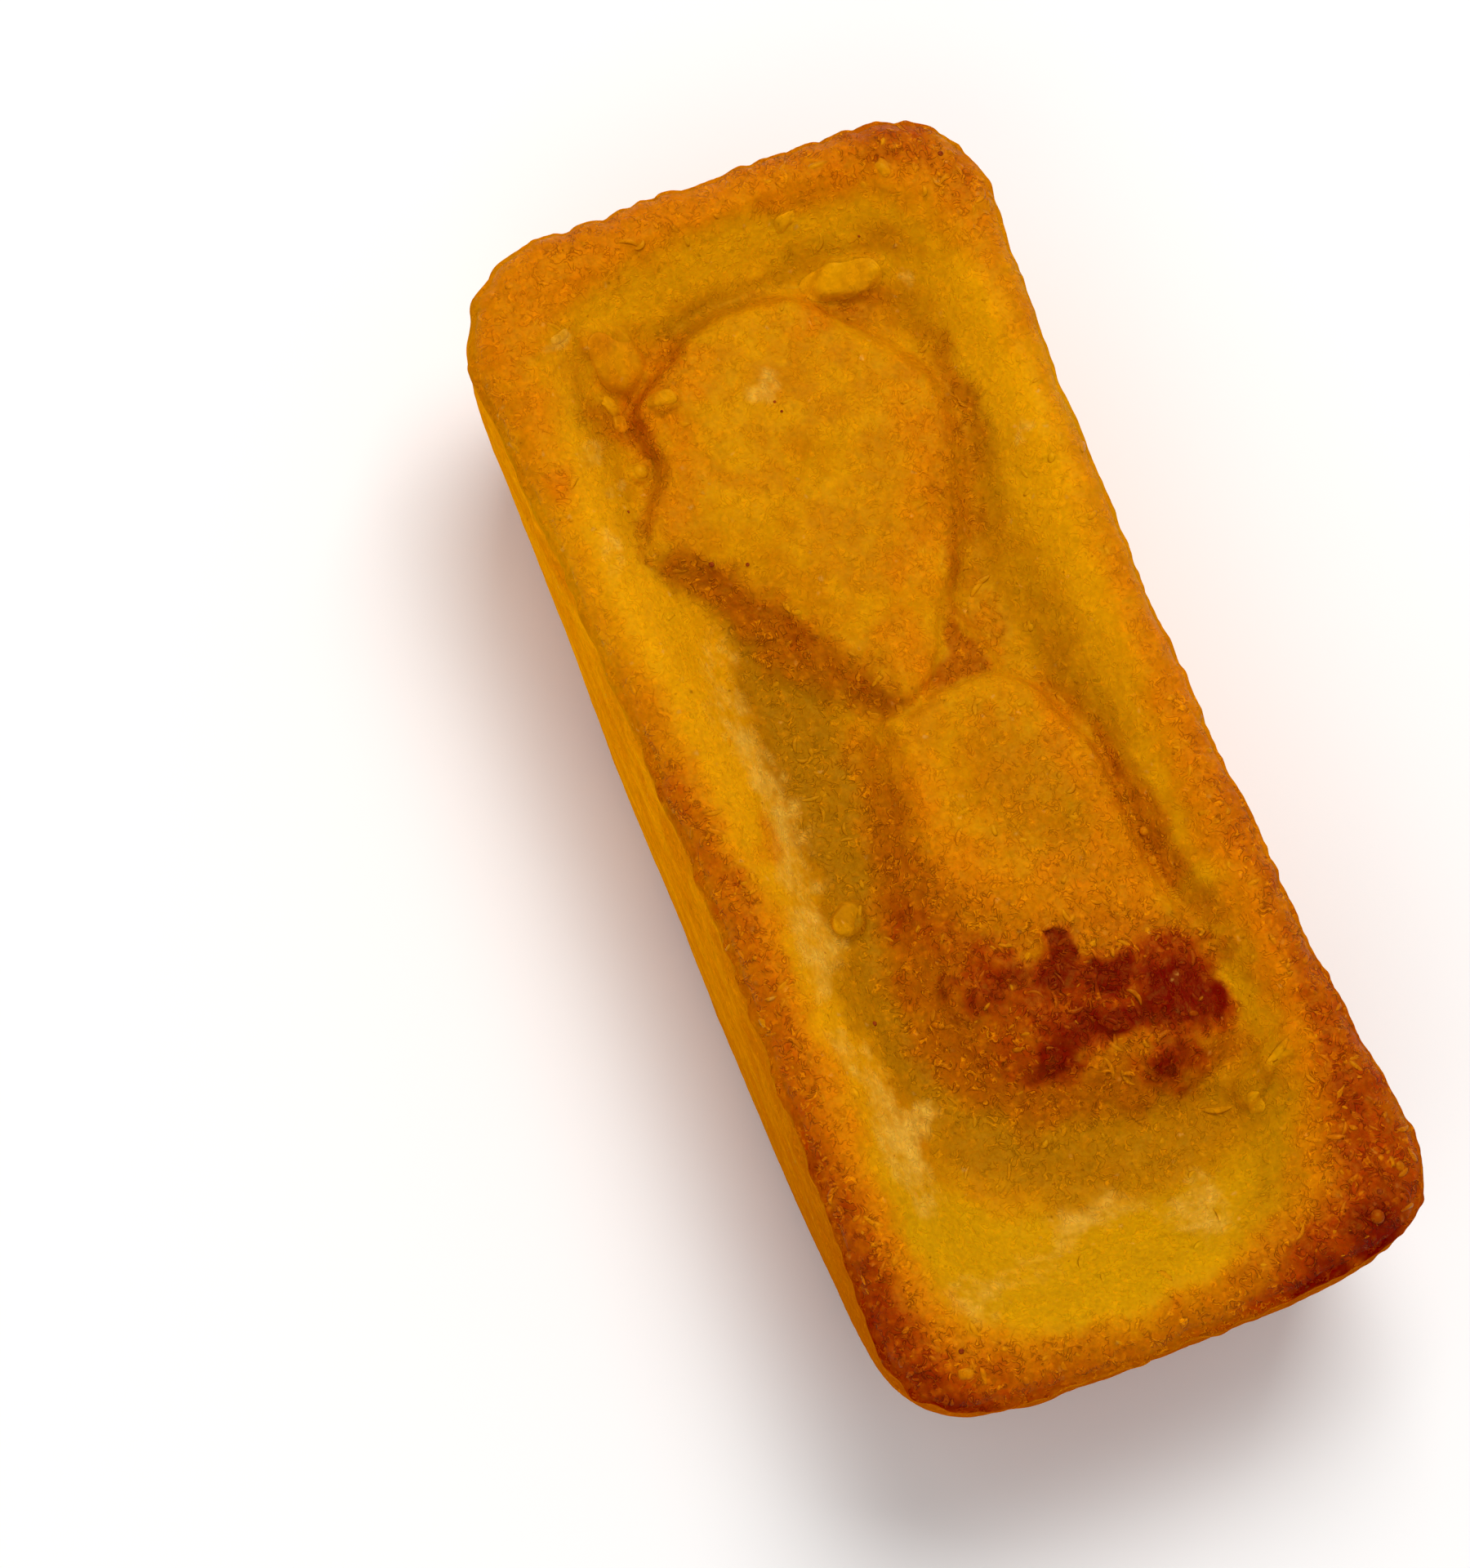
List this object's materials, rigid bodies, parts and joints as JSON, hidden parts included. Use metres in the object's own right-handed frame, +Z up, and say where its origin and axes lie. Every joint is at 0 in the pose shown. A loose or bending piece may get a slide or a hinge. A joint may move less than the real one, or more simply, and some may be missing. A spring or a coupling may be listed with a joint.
{
  "type": "cassava cake",
  "caption": "Small loaf-shaped baked cassava cake with a raised browned rim, a sunken middle and puffed lumps of crust on top.",
  "frame": {"origin": "middle of the flat base, under the centre of the cake's outline", "axes": "+X along the cake's length towards the browner end, +Y across it, +Z up out of the sunken top"},
  "size_m": [0.1047, 0.0468, 0.026],
  "materials": {
    "baked_cassava": "golden baked crust, slightly moist and glossy, browner along the rim, with a dark scorched patch on one lump"
  },
  "bodies": {
    "root": {"cassava_cake": "baked_cassava"}
  },
  "joints": []
}
